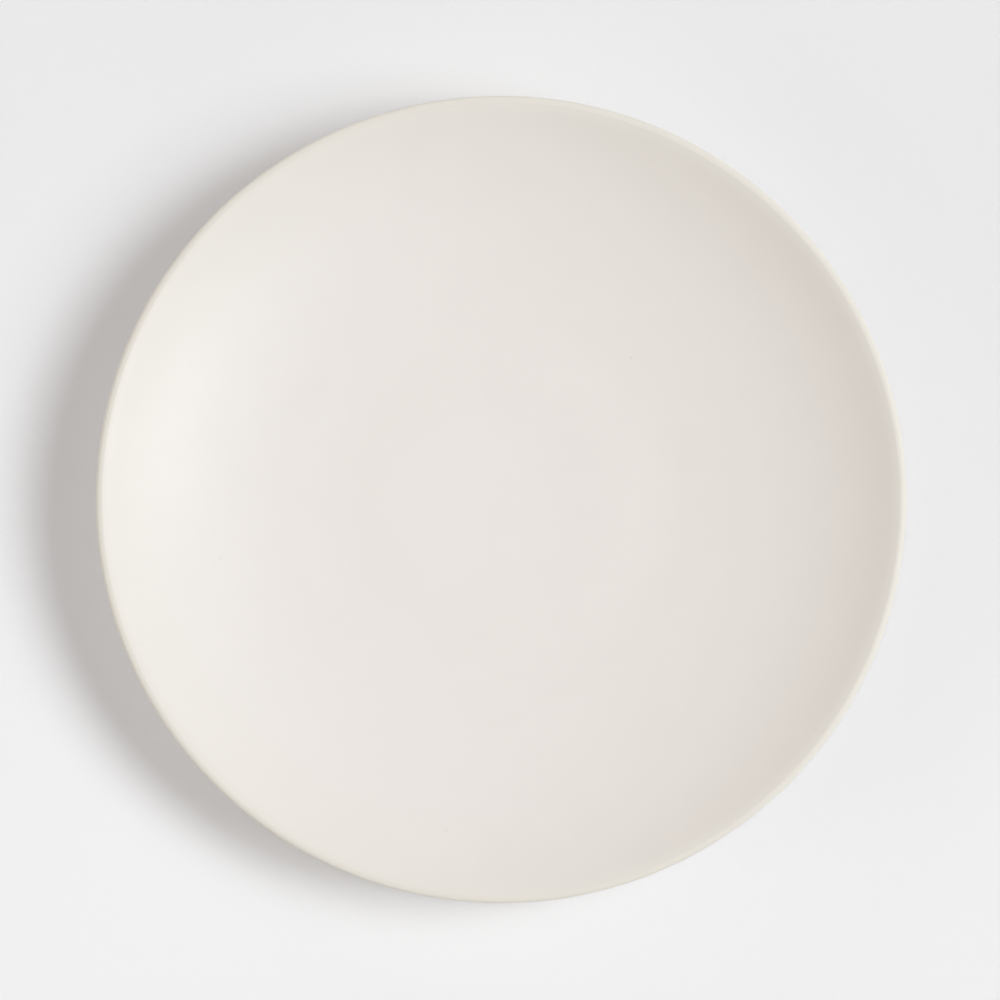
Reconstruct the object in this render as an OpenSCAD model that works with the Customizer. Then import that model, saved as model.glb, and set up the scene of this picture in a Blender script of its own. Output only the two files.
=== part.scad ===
// Coupe dinner plate in glazed stoneware: no flat rim, just a floor that sweeps up to a rounded lip.
// Sizes are in millimetres, with +Z up and the origin at the centre of the foot ring's resting face.

/* [Plate] */
// Outside diameter over the glazed lip
plate_d = 275; // [250:1:300]
// Height from the table to the top of the lip
plate_h = 28; // [25:0.5:34]
// Thickness of the rounded lip, glaze included
lip_t = 4; // [3:0.1:5.5]

/* [Dish] */
// Diameter at which the level floor starts to sweep up
flat_d = 80; // [40:1:110]
// Thickness of the level floor, glaze included
floor_t = 5.5; // [4.5:0.1:7]
// Diameter at which the slow sweep turns into the steeper wall
turn_d = 206; // [180:1:220]
// Rise of the dish from the level floor to that diameter
turn_rise = 7; // [5:0.1:8.5]
// Plumb thickness of the dish over the outside of the foot ring, glaze included
shoulder_t = 6; // [5:0.1:7]
// Diameter of the middle of the floor that sank a little in the kiln
sag_d = 94; // [60:1:120]
// How far the very middle sank
sag = 1.2; // [0.2:0.1:1.6]

/* [Foot ring] */
// Outside diameter of the foot ring, glaze included
foot_d = 146; // [130:1:175]
// Width of the foot ring, glaze included
foot_w = 5.5; // [4.5:0.1:9]
// Depth of the glazed well inside the foot ring
well_depth = 3; // [2.6:0.1:4]
// Radius of the cove between the foot ring and the underside of the wall
cove_r = 2.5; // [1.5:0.1:3]
// Radius of the cove between the foot ring and the floor of the well
well_cove_r = 1.2; // [0.6:0.1:1.6]
// Radius on both edges of the resting face
foot_edge_r = 0.9; // [0.4:0.1:1.1]

/* [Glaze] */
// Thickness of the fired glaze
glaze_t = 0.35; // [0.2:0.05:0.6]
// Height up to which the foot ring is wiped bare of glaze
bare_h = 1.3; // [1:0.1:1.6]

/* [Hidden] */

clay_colour = "tan";
glaze_colour = "linen";

// Steps along each stretch of the outline, and round the plate
curve_steps = 32;
round_steps = 10;
$fn = 180;

lip_r = lip_t / 2;
flat_r = flat_d / 2;
turn_r = turn_d / 2;
sag_r = sag_d / 2;
foot_r = foot_d / 2;
well_r = foot_r - foot_w;
floor_z = well_depth + floor_t;
lip_x = plate_d / 2 - lip_r;

// The dish is two parabolas that share a slope at turn_r, and the second one ends at the lip
sweep_run = turn_r - flat_r;
wall_run = lip_x - turn_r;
turn_slope = 2 * turn_rise / sweep_run;
wall_rise = plate_h - floor_z - turn_rise;
wall_bend = 2 * (wall_rise - turn_slope * wall_run) / pow(wall_run, 2);

// How far the floor has sunk at a radius, and the slope that this gives it
function sag_at(r) = r < sag_r ? sag * pow(1 - pow(r / sag_r, 2), 2) : 0;
function sag_slope(r) = r < sag_r ? 4 * sag * r * (1 - pow(r / sag_r, 2)) / pow(sag_r, 2) : 0;

// Rise and slope of the dish at a radius
function rise(r) =
    r < flat_r ? 0
    : r < turn_r ? turn_rise * pow((r - flat_r) / sweep_run, 2)
    : turn_rise + turn_slope * (r - turn_r) + wall_bend * pow(r - turn_r, 2) / 2;
function slope(r) =
    r < flat_r ? 0
    : r < turn_r ? turn_slope * (r - flat_r) / sweep_run
    : turn_slope + wall_bend * (r - turn_r);

// The face and the underside lie lip_r to either side of two guide curves, which meet in the
// middle of the lip. Below the lip the guides part, so the wall thickens evenly towards the foot.
taper = (shoulder_t - lip_t) / (lip_x - foot_r);
function face_angle(r) = atan(slope(r) + sag_slope(r));
function face_guide(r) = [r, floor_z - lip_r + rise(r) - sag_at(r)];
function under_angle(r) = atan(slope(r) + taper);
function under_guide(r) = [r, floor_z - lip_r + rise(r) - taper * (lip_x - r)];

// A point of the face or of the underside, sunk by the inset
function face_point(r, inset) =
    face_guide(r) + (lip_r - inset) * [-sin(face_angle(r)), cos(face_angle(r))];
function under_point(r, inset) =
    under_guide(r) + (lip_r - inset) * [sin(under_angle(r)), -cos(under_angle(r))];

// The cove touches the outside of the foot ring, and the underside at this radius of its guide.
// Each pass of the function comes closer to that radius.
function cove_touch(r, passes) =
    passes == 0 ? r
    : cove_touch(foot_r + cove_r - (lip_r + cove_r) * sin(under_angle(r)), passes - 1);
under_r = cove_touch(foot_r, curve_steps);
cove_centre = under_point(under_r, -cove_r);
well_cove_centre = [well_r - well_cove_r, well_depth - well_cove_r];

// The radii from one to another in equal steps, without the first, where the stretch before ends
function radii(from, to) = [for (i = [1 : curve_steps]) from + (to - from) * i / curve_steps];

// The points of a round stretch, also without the first
function arc(centre, radius, from, to) =
    [for (i = [1 : round_steps]) let (angle = from + (to - from) * i / round_steps)
        centre + radius * [cos(angle), sin(angle)]];

function reversed(points) = [for (i = [len(points) - 1 : -1 : 0]) points[i]];

// Half outline from the middle of the face, over the lip and down to the bare foot.
// An inset of 0 gives the glaze's surface, and an inset of glaze_t the clay under it.
function coat_outline(inset) = concat(
    [face_point(0, inset)],
    [for (r = radii(0, flat_r)) face_point(r, inset)],
    [for (r = radii(flat_r, turn_r)) face_point(r, inset)],
    [for (r = radii(turn_r, lip_x)) face_point(r, inset)],
    arc(face_guide(lip_x), lip_r - inset, face_angle(lip_x) + 90, 0),
    arc(face_guide(lip_x), lip_r - inset, 0, under_angle(lip_x) - 90),
    [for (r = radii(lip_x, under_r)) under_point(r, inset)],
    arc(cove_centre, cove_r + inset, under_angle(under_r) + 90, 180),
    [[foot_r - inset, bare_h]]
);

// Half outline of the well inside the foot ring, from the middle down to the bare foot
function well_outline(inset) = concat(
    [[0, well_depth - sag + inset]],
    [for (r = radii(0, well_cove_centre.x)) [r, well_depth - sag_at(r) + inset]],
    arc(well_cove_centre, well_cove_r + inset, 90, 0),
    [[well_r + inset, bare_h]]
);

// Half outline of the bare end of the foot ring, from its outside to its inside
function foot_outline() =
    let (
        outer = foot_r - glaze_t,
        inner = well_r + glaze_t
    )
    concat(
        [[outer, foot_edge_r]],
        arc([outer - foot_edge_r, foot_edge_r], foot_edge_r, 0, -90),
        [[inner + foot_edge_r, 0]],
        arc([inner + foot_edge_r, foot_edge_r], foot_edge_r, -90, -180)
    );

// Fired clay: floor, wall, lip and foot ring in one piece
module stoneware_body() {
    color(clay_colour)
        rotate_extrude()
            polygon(concat(coat_outline(glaze_t), foot_outline(), reversed(well_outline(glaze_t))));
}

// Glaze over the face, the lip and the underside, ending at the bare foot
module glaze_coat() {
    color(glaze_colour)
        rotate_extrude()
            polygon(concat(coat_outline(0), reversed(coat_outline(glaze_t))));
}

// Glaze inside the foot ring, cut off from the rest by the bare foot
module foot_well_glaze() {
    color(glaze_colour)
        rotate_extrude()
            polygon(concat(well_outline(0), reversed(well_outline(glaze_t))));
}

stoneware_body();
glaze_coat();
foot_well_glaze();
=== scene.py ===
# Coupe dinner plate in satin glazed stoneware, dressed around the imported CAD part.
# Metres, with +Z up and the origin at the centre of the foot ring's resting face.
import math

import bpy
import numpy as np
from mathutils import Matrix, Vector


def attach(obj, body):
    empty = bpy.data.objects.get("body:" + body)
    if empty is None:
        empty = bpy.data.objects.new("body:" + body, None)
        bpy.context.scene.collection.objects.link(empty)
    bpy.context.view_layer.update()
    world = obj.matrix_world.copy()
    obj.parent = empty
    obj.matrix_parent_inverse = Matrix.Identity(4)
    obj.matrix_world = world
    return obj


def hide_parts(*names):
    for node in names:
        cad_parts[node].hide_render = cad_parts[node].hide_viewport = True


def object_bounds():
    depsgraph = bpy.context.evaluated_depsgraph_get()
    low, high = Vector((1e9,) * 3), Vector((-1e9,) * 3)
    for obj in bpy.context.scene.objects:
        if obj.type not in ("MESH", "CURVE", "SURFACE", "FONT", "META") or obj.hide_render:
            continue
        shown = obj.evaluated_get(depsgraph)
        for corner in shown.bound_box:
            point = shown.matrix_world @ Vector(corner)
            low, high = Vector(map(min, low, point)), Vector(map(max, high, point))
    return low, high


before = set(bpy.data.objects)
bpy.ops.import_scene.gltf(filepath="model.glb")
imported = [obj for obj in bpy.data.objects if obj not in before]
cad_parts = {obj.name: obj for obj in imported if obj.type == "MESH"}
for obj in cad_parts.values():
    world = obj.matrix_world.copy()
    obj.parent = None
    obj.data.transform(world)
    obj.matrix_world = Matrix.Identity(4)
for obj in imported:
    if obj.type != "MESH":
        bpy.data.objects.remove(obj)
cad_low, cad_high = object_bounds()

# Stoneware body: floor, wall, lip and foot ring are one lump of buff clay, pressed on a mould by a
# turning profile tool and fired. Glaze hides all of it but the foot ring, which is wiped bare and
# ground flat, or the plate would stick to the kiln shelf.
mm = 0.001
plate_d = cad_high.x - cad_low.x
plate_h = cad_high.z
lip_t = 4 * mm
shoulder_t = 6 * mm
foot_d = 146 * mm
foot_w = 5.5 * mm
foot_edge_r = 0.9 * mm
cove_r = 2.5 * mm
well_depth = 3 * mm
well_cove_r = 1.2 * mm
sag_d = 94 * mm
sag = 1.2 * mm
glaze_t = 0.35 * mm
bare_h = 1.3 * mm

# Slope of the dish in degrees, by distance from the middle in millimetres: the middle sank a little
# in the kiln, a level ring lies round it, the floor bends over the foot ring and sweeps up to the lip
dish_slopes = (
    (0, 0),
    (17, 1.2),
    (27, 2.8),
    (34, 2.4),
    (41, 1.2),
    (47, 0.7),
    (54, 1.7),
    (58, 3),
    (63, 5.9),
    (75, 6),
    (88, 9.5),
    (95, 11.6),
    (102, 13.4),
    (115, 18.6),
    (122, 22.4),
    (129, 26.4),
    (142, 32),
)
# Each bend is spread over this length to either side, in this many steps
bend_length = 4 * mm
bend_steps = 9
# Points along the dish, and along each round stretch
guide_steps = 151
arc_steps = 12
# The wall eases off into the lip, whose top is a little flat and turns down in a fuller corner than a
# circle's
ease_length = 2.6 * mm
ease_share = 0.5
lip_fullness = 0.76

# The turning tool leaves faint rings under the plate, of two spacings that run in and out of step
tool_ring_spacings = (6 * mm, 9.5 * mm)
tool_ring_depth = 0.02 * mm

lip_r = lip_t / 2
foot_r = foot_d / 2
well_r = foot_r - foot_w
lip_x = plate_d / 2 - lip_r
lip_z = plate_h - lip_r
taper = (shoulder_t - lip_t) / (lip_x - foot_r)
quarter = math.pi / 2
whole_turn = 2 * math.pi


def tool_rings(radius, inner, outer):
    """Height of the tool's rings at each radius, dying away at both ends of the ringed stretch."""
    rings = sum(np.cos(whole_turn * radius / spacing) for spacing in tool_ring_spacings)
    fade = np.clip(np.minimum(radius - inner, outer - radius) / tool_ring_spacings[0], 0, 1)
    return tool_ring_depth * rings * fade


# The guide runs lip_r under the face, from the middle to the centre of the rounded lip
guide_r = np.linspace(0, lip_x, guide_steps)
station_r, station_angle = np.array(dish_slopes).T
slope = np.zeros(guide_steps)
for offset in np.linspace(-bend_length, bend_length, bend_steps):
    there = guide_r + offset
    slope += np.sign(there) * np.interp(abs(there), station_r * mm, np.tan(np.radians(station_angle)))
slope /= bend_steps
slope *= 1 - ease_share * np.clip((guide_r - lip_x) / ease_length + 1, 0, 1)
climb = np.concatenate(([0], np.cumsum((slope[1:] + slope[:-1]) / 2 * np.diff(guide_r))))
guide_z = lip_z + climb - climb[-1]
under_guide_z = guide_z - taper * (lip_x - guide_r) + tool_rings(guide_r, foot_r + cove_r, lip_x)
face_angle = np.arctan(slope)
under_angle = np.arctan(slope + taper)


def beside(radius, height, angle, distance):
    """Points at a distance square to a sloping line, above it or, if negative, below it."""
    return np.stack((radius - distance * np.sin(angle), height + distance * np.cos(angle)), axis=-1)


def arc(centre, width, height, start, end, fullness=1):
    """Points of a stretch of an ellipse from one angle to another, squarer where fullness is below 1."""
    angles = np.linspace(start, end, arc_steps)
    across, up = np.cos(angles), np.sin(angles)
    across = np.sign(across) * abs(across) ** fullness
    up = np.sign(up) * abs(up) ** fullness
    return np.stack((centre[0] + width * across, centre[1] + height * up), axis=-1)


# A cove joins the underside of the wall to the foot ring: each pass comes closer to where they touch
touch_passes = 40
touch_r = foot_r
for touch_pass in range(touch_passes):
    touch_angle = np.interp(touch_r, guide_r, under_angle)
    touch_r = foot_r + cove_r - (lip_r + cove_r) * math.sin(touch_angle)
touch_z = np.interp(touch_r, guide_r, under_guide_z)
cove_centre = beside(touch_r, touch_z, touch_angle, -lip_r - cove_r)
well_cove_centre = (well_r - well_cove_r, well_depth - well_cove_r)


def coat_outline(inset):
    """Half outline over the face, lip and underside to the foot, sunk below the glazed surface."""
    half = lip_r - inset
    outside = guide_r > touch_r
    underside = beside(guide_r[outside], under_guide_z[outside], under_angle[outside], -half)
    return np.concatenate(
        (
            beside(guide_r, guide_z, face_angle, half)[:-1],
            arc((lip_x, lip_z), half, half, face_angle[-1] + quarter, quarter)[:-1],
            arc((lip_x, lip_z), half, half, quarter, 0, lip_fullness)[:-1],
            arc((lip_x, lip_z), half, half, 0, under_angle[-1] - quarter),
            underside[-2::-1],
            arc(cove_centre, cove_r + inset, cove_r + inset, touch_angle + quarter, 2 * quarter),
        )
    )


def well_outline(inset):
    """Half outline of the well inside the foot ring, which sagged with the floor, sunk into the clay."""
    radius = guide_r[guide_r < well_cove_centre[0]]
    sunk = sag * np.clip(1 - (2 * radius / sag_d) ** 2, 0, None) ** 2
    height = well_depth - sunk + inset + tool_rings(radius, 0, well_cove_centre[0])
    return np.concatenate(
        (
            np.stack((radius, height), axis=-1),
            arc(well_cove_centre, well_cove_r + inset, well_cove_r + inset, quarter, 0),
        )
    )


# The kiln leaves the plate a little out of round, and its lip a little wavy
out_of_round_share = 0.0045
lip_droop = 0.3 * mm
lip_waves = 2
lip_turn = math.radians(35)
# Steps round the plate, and the least bend between two faces that counts as a sharp edge
round_steps = 180
sharp_edge = math.radians(50)
turns = np.arange(round_steps) / round_steps * whole_turn


def lathe(name, outline, lift=0):
    """A closed solid turned from a half outline that starts and ends on the axis."""
    radius = outline[1:-1, 0, None]
    drooping = np.clip((radius - foot_r) / (lip_x - foot_r), 0, 1) ** 2
    droop = lip_droop * drooping * (1 + np.cos(lip_waves * (turns - lip_turn))) / 2
    high = outline[1:-1, 1, None] + lift - droop
    wide = radius * np.cos(turns)
    deep = radius * np.sin(turns) * (1 - out_of_round_share)
    ends = [(0, 0, outline[0, 1]), (0, 0, outline[-1, 1])]
    points = np.concatenate((np.stack((wide, deep, high), axis=-1).reshape(-1, 3), ends))
    rings = len(outline) - 2
    first = rings * round_steps
    last = first + 1
    faces = []
    for turn in range(round_steps):
        after = (turn + 1) % round_steps
        faces.append((first, turn, after))
        for ring in range(0, first - round_steps, round_steps):
            under = ring + round_steps
            faces.append((ring + turn, under + turn, under + after, ring + after))
        faces.append((first - round_steps + turn, last, first - round_steps + after))
    mesh = bpy.data.meshes.new(name)
    mesh.from_pydata(points.tolist(), [], faces)
    mesh.shade_smooth()
    mesh.set_sharp_from_angle(angle=sharp_edge)
    piece = bpy.data.objects.new(name, mesh)
    bpy.context.scene.collection.objects.link(piece)
    return piece


foot_outer = foot_r - glaze_t
foot_inner = well_r + glaze_t
clay_outline = np.concatenate(
    (
        coat_outline(glaze_t),
        arc((foot_outer - foot_edge_r, foot_edge_r), foot_edge_r, foot_edge_r, 0, -quarter),
        arc((foot_inner + foot_edge_r, foot_edge_r), foot_edge_r, foot_edge_r, -quarter, -2 * quarter),
        well_outline(glaze_t)[::-1],
    )
)
stoneware_body = lathe("stoneware_body_fired", clay_outline)


def linear(colour):
    """An sRGB hex colour as linear red, green and blue, and an opaque alpha."""
    shares = [int(colour[i : i + 2], 16) / 255 for i in (1, 3, 5)]
    return [s / 12.92 if s <= 0.04045 else ((s + 0.055) / 1.055) ** 2.4 for s in shares] + [1]


def add_node(tree, kind, sockets, **settings):
    """Adds a node with its settings, and sets or links its input sockets by name or number."""
    node = tree.nodes.new(kind)
    for name, value in settings.items():
        setattr(node, name, value)
    for name, value in sockets.items():
        if isinstance(value, bpy.types.NodeSocket):
            tree.links.new(value, node.inputs[name])
        else:
            node.inputs[name].default_value = value
    return node


# A mix node's colour sockets go by number, because its sockets for other kinds have the same names
mix_factor, mix_first, mix_second, mix_result = 0, 6, 7, 2

# Bare fired stoneware: dull buff clay with darker grog in it, toasted where it met the glaze's edge.
# The resting face has the fine rings of the grinding wheel, drawn a little wide apart so that they show.
clay_dark = "#B49A7B"
clay_pale = "#CDB798"
clay_toasted = "#A97F58"
clay_rough = 0.85
clay_ior = 1.5
grog_size = 0.9 * mm
grog_share = 0.6
cloud_size = 12 * mm
clay_detail = 3
tone_from_share, tone_to_share = 0.55, 1.05
toast_from, toast_to = 0.55 * mm, bare_h
toast_share = 0.75
ring_spacing = 0.6 * mm
ring_wobble = 1.5
ring_detail = 1
ring_share = 0.4
clay_relief = 0.03 * mm
clay = bpy.data.materials.new("bare_fired_stoneware")
clay.use_nodes = True
tree = clay.node_tree
tree.nodes.clear()
place = add_node(tree, "ShaderNodeTexCoord", {}).outputs["Object"]
above = add_node(tree, "ShaderNodeSeparateXYZ", {"Vector": place}).outputs["Z"]
grog = add_node(
    tree, "ShaderNodeTexNoise", {"Vector": place, "Scale": 1 / grog_size, "Detail": clay_detail}
)
cloud = add_node(
    tree, "ShaderNodeTexNoise", {"Vector": place, "Scale": 1 / cloud_size, "Detail": clay_detail}
)
grain = add_node(
    tree,
    "ShaderNodeMath",
    {0: grog.outputs["Fac"], 1: grog_share, 2: cloud.outputs["Fac"]},
    operation="MULTIPLY_ADD",
)
shade = add_node(
    tree,
    "ShaderNodeMapRange",
    {"Value": grain.outputs["Value"], "From Min": tone_from_share, "From Max": tone_to_share},
)
buff = add_node(
    tree,
    "ShaderNodeMix",
    {mix_factor: shade.outputs["Result"], mix_first: linear(clay_dark), mix_second: linear(clay_pale)},
    data_type="RGBA",
)
toast = add_node(
    tree,
    "ShaderNodeMapRange",
    {"Value": above, "From Min": toast_from, "From Max": toast_to, "To Max": toast_share},
    interpolation_type="SMOOTHSTEP",
)
tone = add_node(
    tree,
    "ShaderNodeMix",
    {
        mix_factor: toast.outputs["Result"],
        mix_first: buff.outputs[mix_result],
        mix_second: linear(clay_toasted),
    },
    data_type="RGBA",
)
# A wave texture of scale 1 has its rings a tenth of pi apart
plain_ring_spacing = math.pi / 10
rings = add_node(
    tree,
    "ShaderNodeTexWave",
    {
        "Vector": place,
        "Scale": plain_ring_spacing / ring_spacing,
        "Distortion": ring_wobble,
        "Detail": ring_detail,
    },
    wave_type="RINGS",
    rings_direction="Z",
)
relief = add_node(
    tree,
    "ShaderNodeMath",
    {0: rings.outputs["Fac"], 1: ring_share, 2: grog.outputs["Fac"]},
    operation="MULTIPLY_ADD",
)
bump = add_node(tree, "ShaderNodeBump", {"Height": relief.outputs["Value"], "Distance": clay_relief})
surface = add_node(
    tree,
    "ShaderNodeBsdfPrincipled",
    {
        "Base Color": tone.outputs[mix_result],
        "Roughness": clay_rough,
        "IOR": clay_ior,
        "Normal": bump.outputs["Normal"],
    },
)
add_node(tree, "ShaderNodeOutputMaterial", {"Surface": surface.outputs["BSDF"]})
stoneware_body.data.materials.append(clay)
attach(stoneware_body, "root")
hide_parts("stoneware_body")

# Glaze coat: one unbroken skin of satin glaze over the face, round the lip and down the underside.
# The plate is dipped and fired; the glaze pools in the middle, thins up the wall and over the lip, and
# ends in a soft bead above the bare foot, where a sponge wiped it off.
bead_h = 0.45 * mm
thin_on_edge = 0.8 * mm
# Share by which the glaze is thin, by distance from the middle in millimetres
thin_shares = ((0, 0), (17, 0), (40, 0.2), (105, 0.2), (118, 0.35), (133, 0.45), (135.5, 1))
# Waves round the foot, height in millimetres and starting angle of the wiped line
wipe_waves = ((3, 0.11, 0.4), (7, 0.08, 2.1), (16, 0.05, 4.0))
wipe = sum(height * mm * np.sin(waves * turns + start) for waves, height, start in wipe_waves)


def glaze_skin(name, outline_at, edge_r, wiped_from, facing):
    """A closed skin of glaze on the clay, with the share by which it is thin at each point."""
    clay_side = outline_at(glaze_t)
    clay_r = clay_side[-1, 0]
    bead = arc((clay_r, bare_h + bead_h), edge_r - clay_r, -bead_h, 0, quarter)
    outline = np.concatenate((outline_at(0), bead, clay_side[::-1]))[::facing]
    on_foot = abs(outline[:, 0] - clay_r) < 2 * glaze_t
    wiped = on_foot * np.clip((wiped_from - outline[:, 1]) / (wiped_from - bare_h), 0, 1)
    skin = lathe(name, outline, wiped[1:-1, None] * wipe)
    thin_r, thin_share = np.array(thin_shares).T
    from_edge = np.hypot(outline[:, 0] - clay_r, outline[:, 1] - bare_h)
    thin = np.maximum(np.interp(outline[:, 0], thin_r * mm, thin_share), np.exp(-from_edge / thin_on_edge))
    values = np.concatenate((np.repeat(thin[1:-1], round_steps), thin[[0, -1]]))
    thinness = skin.data.attributes.new("glaze_thinness", "FLOAT", "POINT")
    thinness.data.foreach_set("value", values.astype(np.float32))
    return skin


glaze_coat = glaze_skin("glaze_coat_satin", coat_outline, foot_r, cove_centre[1], 1)

# Satin stoneware glaze: an off-white glass made cloudy by fine crystals, so it has a broad soft sheen
# and no sharp reflection. It is a little uneven in tone, warmer where it is thin, and a few grains of
# iron from the clay show as faint grey specks. The crystals are drawn coarse, so that they show.
glaze_white = "#E9E4DF"
glaze_warm = "#E5E0D6"
speck_grey = "#8F8A84"
glaze_ior = 1.5
satin_rough = 0.42
rough_spread = 0.05
crystal_size = 1.1 * mm
crystal_relief = 0.008 * mm
mottle_size = 14 * mm
mottle_spread_share = 0.005
glaze_detail = 2
noise_from_share, noise_to_share = 0.3, 0.7
speck_spacing = 15 * mm
speck_r = 0.5 * mm
speck_core_share = 0.5
speck_depth_share = 0.16
glaze = bpy.data.materials.new("satin_stoneware_glaze")
glaze.use_nodes = True
tree = glaze.node_tree
tree.nodes.clear()
place = add_node(tree, "ShaderNodeTexCoord", {}).outputs["Object"]
thin = add_node(tree, "ShaderNodeAttribute", {}, attribute_name="glaze_thinness")
tint = add_node(
    tree,
    "ShaderNodeMix",
    {mix_factor: thin.outputs["Fac"], mix_first: linear(glaze_white), mix_second: linear(glaze_warm)},
    data_type="RGBA",
)
mottle = add_node(
    tree, "ShaderNodeTexNoise", {"Vector": place, "Scale": 1 / mottle_size, "Detail": glaze_detail}
)
uneven = add_node(
    tree,
    "ShaderNodeMapRange",
    {
        "Value": mottle.outputs["Fac"],
        "From Min": noise_from_share,
        "From Max": noise_to_share,
        "To Min": 1 - mottle_spread_share,
        "To Max": 1 + mottle_spread_share,
    },
)
toned = add_node(
    tree,
    "ShaderNodeVectorMath",
    {0: tint.outputs[mix_result], "Scale": uneven.outputs["Result"]},
    operation="SCALE",
)
# The distance is in cells, so the radius of a speck is too, and each cell has its own random strength
cells = add_node(tree, "ShaderNodeTexVoronoi", {"Vector": place, "Scale": 1 / speck_spacing})
chance = add_node(tree, "ShaderNodeSeparateColor", {"Color": cells.outputs["Color"]})
strength = add_node(
    tree, "ShaderNodeMath", {0: chance.outputs["Red"], 1: speck_depth_share}, operation="MULTIPLY"
)
in_speck = add_node(
    tree,
    "ShaderNodeMapRange",
    {
        "Value": cells.outputs["Distance"],
        "From Min": speck_r / speck_spacing,
        "From Max": speck_core_share * speck_r / speck_spacing,
        "To Max": strength.outputs["Value"],
    },
)
specked = add_node(
    tree,
    "ShaderNodeMix",
    {
        mix_factor: in_speck.outputs["Result"],
        mix_first: toned.outputs["Vector"],
        mix_second: linear(speck_grey),
    },
    data_type="RGBA",
)
crystals = add_node(
    tree, "ShaderNodeTexNoise", {"Vector": place, "Scale": 1 / crystal_size, "Detail": glaze_detail}
)
sheen = add_node(
    tree,
    "ShaderNodeMapRange",
    {
        "Value": crystals.outputs["Fac"],
        "From Min": noise_from_share,
        "From Max": noise_to_share,
        "To Min": satin_rough - rough_spread,
        "To Max": satin_rough + rough_spread,
    },
)
bump = add_node(tree, "ShaderNodeBump", {"Height": crystals.outputs["Fac"], "Distance": crystal_relief})
surface = add_node(
    tree,
    "ShaderNodeBsdfPrincipled",
    {
        "Base Color": specked.outputs[mix_result],
        "Roughness": sheen.outputs["Result"],
        "IOR": glaze_ior,
        "Normal": bump.outputs["Normal"],
    },
)
add_node(tree, "ShaderNodeOutputMaterial", {"Surface": surface.outputs["BSDF"]})
glaze_coat.data.materials.append(glaze)
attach(glaze_coat, "root")
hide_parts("glaze_coat")

# Foot-well glaze: a disc of the same glaze inside the foot ring. The wiped ring cuts it off from the
# rest, and its edge has the same soft bead.
foot_well_glaze = glaze_skin("foot_well_glaze_satin", well_outline, well_r, well_cove_centre[1], -1)
foot_well_glaze.data.materials.append(glaze)
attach(foot_well_glaze, "root")
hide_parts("foot_well_glaze")

# Floor: a sheet of pale matt backdrop paper that the plate stands on. Its colour has painted light in it:
# it is a little lighter towards the bottom of the picture, where the light falls brighter. Its fine fibres
# are drawn coarse, so that they show.
floor_half = 6
# Painted light: the paper's colour near the bottom of the picture, where it is lit brighter, and far up it
floor_near = "#F3F3F3"
floor_far = "#ECECEC"
floor_fade = 0.16
paper_rough = 0.95
fibre_size = 1.2 * mm
fibre_relief = 0.04 * mm
fibre_detail = 3
floor_mesh = bpy.data.meshes.new("backdrop_paper")
corners = [(-floor_half, -floor_half, 0), (floor_half, -floor_half, 0)]
corners += [(floor_half, floor_half, 0), (-floor_half, floor_half, 0)]
floor_mesh.from_pydata(corners, [], [(0, 1, 2, 3)])
floor = bpy.data.objects.new("backdrop_paper", floor_mesh)
bpy.context.scene.collection.objects.link(floor)
paper = bpy.data.materials.new("matt_backdrop_paper")
paper.use_nodes = True
tree = paper.node_tree
tree.nodes.clear()
place = add_node(tree, "ShaderNodeTexCoord", {}).outputs["Object"]
along = add_node(tree, "ShaderNodeSeparateXYZ", {"Vector": place})
# Painted light: the paper's colour fades from the lighter near tone to the darker far tone up the picture
fade = add_node(
    tree,
    "ShaderNodeMapRange",
    {"Value": along.outputs["Y"], "From Min": -floor_fade, "From Max": floor_fade},
    interpolation_type="SMOOTHSTEP",
)
tone = add_node(
    tree,
    "ShaderNodeMix",
    {mix_factor: fade.outputs["Result"], mix_first: linear(floor_near), mix_second: linear(floor_far)},
    data_type="RGBA",
)
fibres = add_node(
    tree, "ShaderNodeTexNoise", {"Vector": place, "Scale": 1 / fibre_size, "Detail": fibre_detail}
)
bump = add_node(tree, "ShaderNodeBump", {"Height": fibres.outputs["Fac"], "Distance": fibre_relief})
surface = add_node(
    tree,
    "ShaderNodeBsdfPrincipled",
    {"Base Color": tone.outputs[mix_result], "Roughness": paper_rough, "Normal": bump.outputs["Normal"]},
)
add_node(tree, "ShaderNodeOutputMaterial", {"Surface": surface.outputs["BSDF"]})
floor_mesh.materials.append(paper)

# Studio light: far soft lamps, so that the light is even over the plate. The key light on the right is
# three big diffusing panels, and pale cards fill in from the other sides. They light the plate and cast
# its shadow, but are too dull to shine in the glaze: a small lamp above the key gives the sheen alone.
cool_white = "#F9FDFF"
soft_white = "#FFFBFF"
warm_white = "#FFFAE8"
# Name, height, turn and width in degrees, share of the full light, colour, and if it gives the sheen
lamps = (
    ("key_panel_low", 37, -12, 22, 0.22, cool_white, False),
    ("key_panel_high", 46, 7, 24, 0.4, cool_white, False),
    ("key_panel_back", 42, 22, 24, 0.087, cool_white, False),
    ("sheen_lamp", 57, -15, 12, 0.22, cool_white, True),
    ("top_card", 87, 135, 14, 0.19, soft_white, False),
    ("left_card", 42, 165, 60, 0.124, warm_white, False),
    ("low_left_card", 14, 195, 30, 0.1, warm_white, False),
    ("back_card", 12, 112, 24, 0.08, soft_white, False),
    ("front_card", 12, 270, 24, 0.05, warm_white, False),
)
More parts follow.
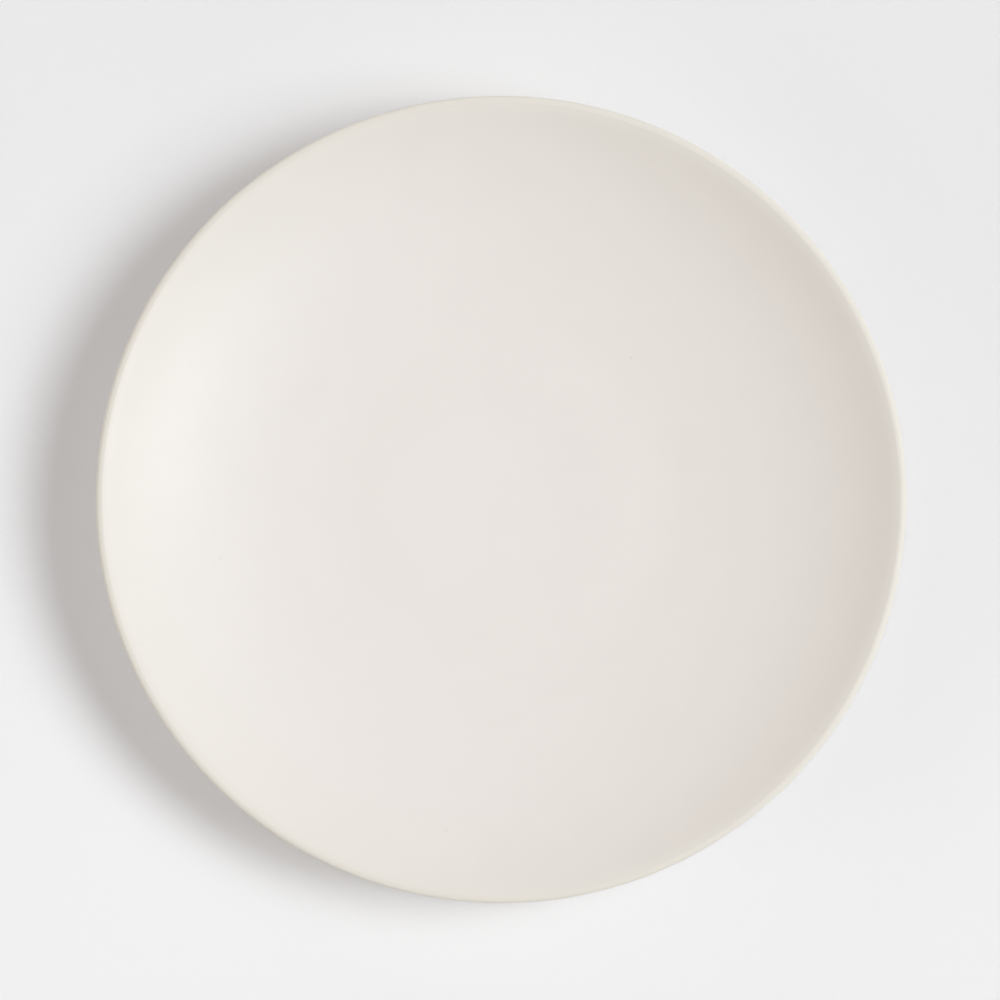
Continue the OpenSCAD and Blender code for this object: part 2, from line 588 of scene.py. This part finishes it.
# A far lamp of this strength lights a white surface that faces it squarely to 1
full_light = math.pi
for name, height, turn, width, share, colour, sheen_only in lamps:
    lamp_data = bpy.data.lights.new(name, "SUN")
    lamp_data.angle = math.radians(width)
    lamp_data.energy = full_light * share
    lamp_data.color = linear(colour)[:3]
    lamp = bpy.data.objects.new(name, lamp_data)
    lamp.rotation_euler = (quarter - math.radians(height), 0, quarter + math.radians(turn))
    lamp.visible_diffuse = not sheen_only
    lamp.visible_glossy = sheen_only
    bpy.context.scene.collection.objects.link(lamp)

# The walls of the studio add a weak even light, and the camera and the glaze see a pale backdrop there
wall_light = 0.207
backdrop_colour = "#EFEFEF"
world = bpy.data.worlds.new("pale_studio")
world.use_nodes = True
bpy.context.scene.world = world
tree = world.node_tree
tree.nodes.clear()
path = add_node(tree, "ShaderNodeLightPath", {})
seen = path.outputs["Is Camera Ray"]
for ray in ("Is Glossy Ray", "Is Transmission Ray"):
    either = add_node(tree, "ShaderNodeMath", {0: seen, 1: path.outputs[ray]}, operation="MAXIMUM")
    seen = either.outputs["Value"]
walls = add_node(tree, "ShaderNodeBackground", {"Color": linear(soft_white), "Strength": wall_light})
backdrop = add_node(tree, "ShaderNodeBackground", {"Color": linear(backdrop_colour)})
shown = add_node(
    tree,
    "ShaderNodeMixShader",
    {0: seen, 1: walls.outputs["Background"], 2: backdrop.outputs["Background"]},
)
add_node(tree, "ShaderNodeOutputWorld", {"Surface": shown.outputs["Shader"]})

# Camera: straight above the plate and far off, so that the lip hides nothing of the face. The plate takes
# up just over four fifths of the frame's width, a little off its middle.
camera_height = 1.6
frame_width = 339.1 * mm
camera_shift = (-0.4 * mm, -0.17 * mm)
camera_data = bpy.data.cameras.new("overhead_camera")
camera_data.angle = 2 * math.atan(frame_width / 2 / camera_height)
camera = bpy.data.objects.new("overhead_camera", camera_data)
camera.location = (*camera_shift, lip_z + camera_height)
bpy.context.scene.collection.objects.link(camera)
bpy.context.scene.camera = camera
bpy.context.scene.view_settings.view_transform = "Standard"
